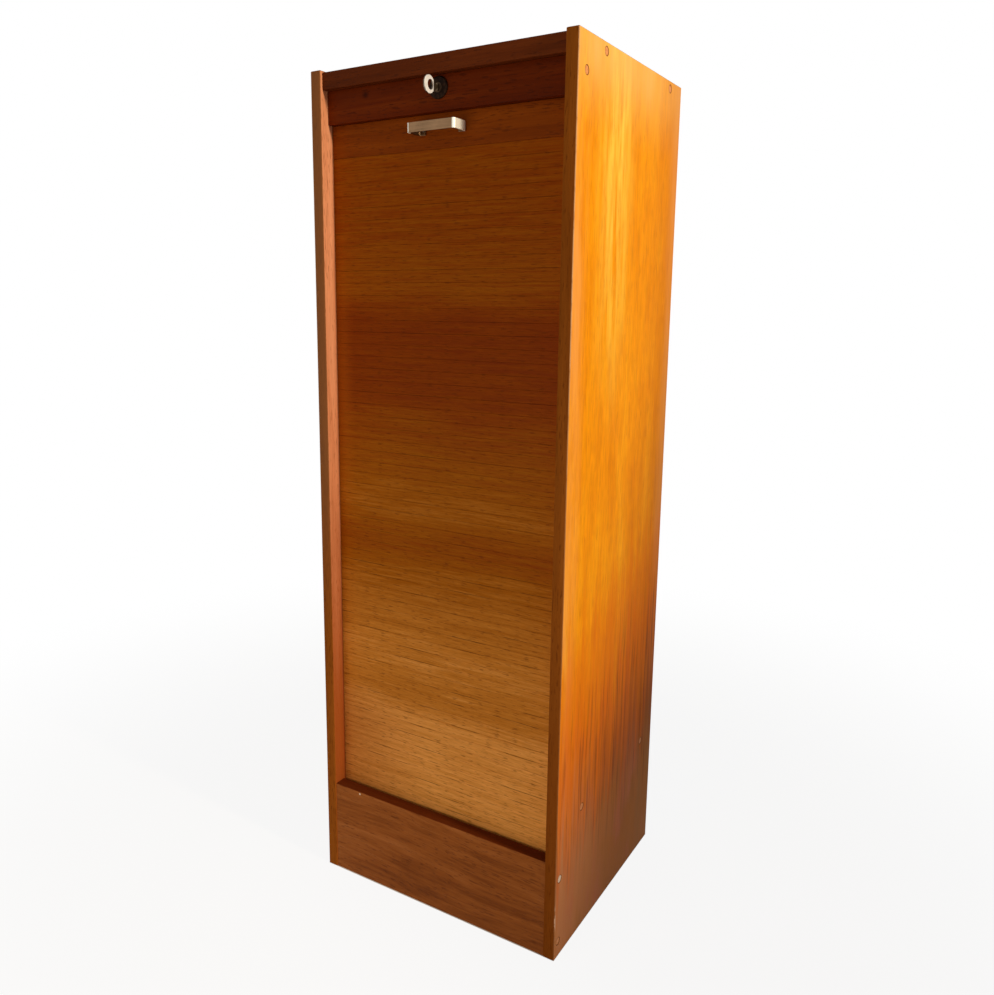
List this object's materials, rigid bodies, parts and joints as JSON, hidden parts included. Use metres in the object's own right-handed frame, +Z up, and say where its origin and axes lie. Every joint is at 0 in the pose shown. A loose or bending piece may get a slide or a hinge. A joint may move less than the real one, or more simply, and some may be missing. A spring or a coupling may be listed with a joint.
{
  "type": "tambour door cabinet",
  "caption": "Tall narrow filing cabinet whose slatted tambour curtain slides down behind a plinth, with a bar handle, a key lock and inner shelves.",
  "frame": {"origin": "on the floor, in the middle of the whole object's footprint, the handle and key included", "axes": "+Z up, +X to the right as seen from the front, +Y from the front to the back"},
  "size_m": [0.402, 0.3698, 1.2],
  "materials": {
    "side_veneer": "oiled teak veneer, satin",
    "frame_wood": "dark teak, satin",
    "plinth_wood": "dark teak veneer, satin",
    "curtain_slats": "teak veneer slats, satin",
    "inner_wood": "plain veneer, matt",
    "dowel_wood": "end grain",
    "hardboard": "matt fibreboard",
    "handle_steel": "satin",
    "steel_hardware": "zinc plated",
    "lock_black": "black",
    "key_nickel": "worn nickel"
  },
  "bodies": {
    "carcass": {"side_left": "side_veneer", "side_right": "side_veneer", "top_board": "frame_wood", "lock_rail": "frame_wood", "plinth": "plinth_wood", "bottom_board": "inner_wood", "inner_back": "hardboard", "outer_back": "hardboard", "dowel_top_front_left": "dowel_wood", "dowel_top_rear_left": "dowel_wood", "dowel_lock_rail_left": "dowel_wood", "dowel_bottom_front_left": "dowel_wood", "dowel_bottom_rear_left": "dowel_wood", "dowel_plinth_high_left": "dowel_wood", "dowel_plinth_low_left": "dowel_wood", "dowel_top_front_right": "dowel_wood", "dowel_top_rear_right": "dowel_wood", "dowel_lock_rail_right": "dowel_wood", "dowel_bottom_front_right": "dowel_wood", "dowel_bottom_rear_right": "dowel_wood", "dowel_plinth_high_right": "dowel_wood", "dowel_plinth_low_right": "dowel_wood", "shelf_1": "inner_wood", "shelf_2": "inner_wood", "shelf_3": "inner_wood", "shelf_1_pin_front_left": "steel_hardware", "shelf_1_pin_rear_left": "steel_hardware", "shelf_1_pin_front_right": "steel_hardware", "shelf_1_pin_rear_right": "steel_hardware", "shelf_2_pin_front_left": "steel_hardware", "shelf_2_pin_rear_left": "steel_hardware", "shelf_2_pin_front_right": "steel_hardware", "shelf_2_pin_rear_right": "steel_hardware", "shelf_3_pin_front_left": "steel_hardware", "shelf_3_pin_rear_left": "steel_hardware", "shelf_3_pin_front_right": "steel_hardware", "shelf_3_pin_rear_right": "steel_hardware", "lock_body": "lock_black", "lock_nut": "steel_hardware"},
    "curtain_lead": {"lead_rail": "frame_wood", "handle": "handle_steel", "handle_screw_left": "steel_hardware", "handle_screw_right": "steel_hardware", "strike_plate": "steel_hardware", "tambour_section_01": "curtain_slats"},
    "curtain_02": {"tambour_section_02": "curtain_slats"},
    "curtain_03": {"tambour_section_03": "curtain_slats"},
    "curtain_04": {"tambour_section_04": "curtain_slats"},
    "curtain_05": {"tambour_section_05": "curtain_slats"},
    "curtain_06": {"tambour_section_06": "curtain_slats"},
    "curtain_07": {"tambour_section_07": "curtain_slats"},
    "curtain_08": {"tambour_section_08": "curtain_slats"},
    "curtain_09": {"tambour_section_09": "curtain_slats"},
    "curtain_10": {"tambour_section_10": "curtain_slats"},
    "curtain_11": {"tambour_section_11": "curtain_slats"},
    "curtain_12": {"tambour_section_12": "curtain_slats"},
    "lock_core": {"lock_plug": "steel_hardware", "lock_cam": "steel_hardware"},
    "key": {"key": "key_nickel"}
  },
  "joints": [
    {"name": "tambour_slide", "type": "slide", "parent": "carcass", "child": "curtain_lead", "axis": [0, 0, -1], "range_m": [0, 0.9592], "deforming": ["tambour_section_02", "tambour_section_03", "tambour_section_04", "tambour_section_05", "tambour_section_06", "tambour_section_07", "tambour_section_08", "tambour_section_09", "tambour_section_10", "tambour_section_11", "tambour_section_12"]},
    {"name": "curtain_02_slide", "type": "slide", "parent": "carcass", "child": "curtain_02", "axis": [0, 0, -1], "range_m": [0, 0.8764]},
    {"name": "curtain_03_slide", "type": "slide", "parent": "carcass", "child": "curtain_03", "axis": [0, 0, -1], "range_m": [0, 0.7914]},
    {"name": "curtain_04_slide", "type": "slide", "parent": "carcass", "child": "curtain_04", "axis": [0, 0, -1], "range_m": [0, 0.7064]},
    {"name": "curtain_05_slide", "type": "slide", "parent": "carcass", "child": "curtain_05", "axis": [0, 0, -1], "range_m": [0, 0.6214]},
    {"name": "curtain_06_slide", "type": "slide", "parent": "carcass", "child": "curtain_06", "axis": [0, 0, -1], "range_m": [0, 0.5364]},
    {"name": "curtain_07_slide", "type": "slide", "parent": "carcass", "child": "curtain_07", "axis": [0, 0, -1], "range_m": [0, 0.4514]},
    {"name": "curtain_08_slide", "type": "slide", "parent": "carcass", "child": "curtain_08", "axis": [0, 0, -1], "range_m": [0, 0.3664]},
    {"name": "curtain_09_slide", "type": "slide", "parent": "carcass", "child": "curtain_09", "axis": [0, 0, -1], "range_m": [0, 0.2814]},
    {"name": "curtain_10_slide", "type": "slide", "parent": "carcass", "child": "curtain_10", "axis": [0, 0, -1], "range_m": [0, 0.1964]},
    {"name": "curtain_11_slide", "type": "slide", "parent": "carcass", "child": "curtain_11", "axis": [0, 0, -1], "range_m": [0, 0.1114]},
    {"name": "curtain_12_slide", "type": "slide", "parent": "carcass", "child": "curtain_12", "axis": [0, 0, -1], "range_m": [0, 0.0264]},
    {"name": "key_turn", "type": "hinge", "parent": "carcass", "child": "lock_core", "pos_m": [0, -0.1461, 1.159], "axis": [0, 1, 0], "range_deg": [0, 90]},
    {"name": "key_pull", "type": "slide", "parent": "lock_core", "child": "key", "axis": [0, -1, 0], "range_m": [0, 0.03]}
  ],
  "couplings": [
    {"joint": "curtain_02_slide", "follows": "tambour_slide", "ratio": 0.91316},
    {"joint": "curtain_03_slide", "follows": "tambour_slide", "ratio": 0.82454},
    {"joint": "curtain_04_slide", "follows": "tambour_slide", "ratio": 0.73593},
    {"joint": "curtain_05_slide", "follows": "tambour_slide", "ratio": 0.64731},
    {"joint": "curtain_06_slide", "follows": "tambour_slide", "ratio": 0.5587},
    {"joint": "curtain_07_slide", "follows": "tambour_slide", "ratio": 0.47008},
    {"joint": "curtain_08_slide", "follows": "tambour_slide", "ratio": 0.38146},
    {"joint": "curtain_09_slide", "follows": "tambour_slide", "ratio": 0.29285},
    {"joint": "curtain_10_slide", "follows": "tambour_slide", "ratio": 0.20423},
    {"joint": "curtain_11_slide", "follows": "tambour_slide", "ratio": 0.11562},
    {"joint": "curtain_12_slide", "follows": "tambour_slide", "ratio": 0.027002}
  ]
}
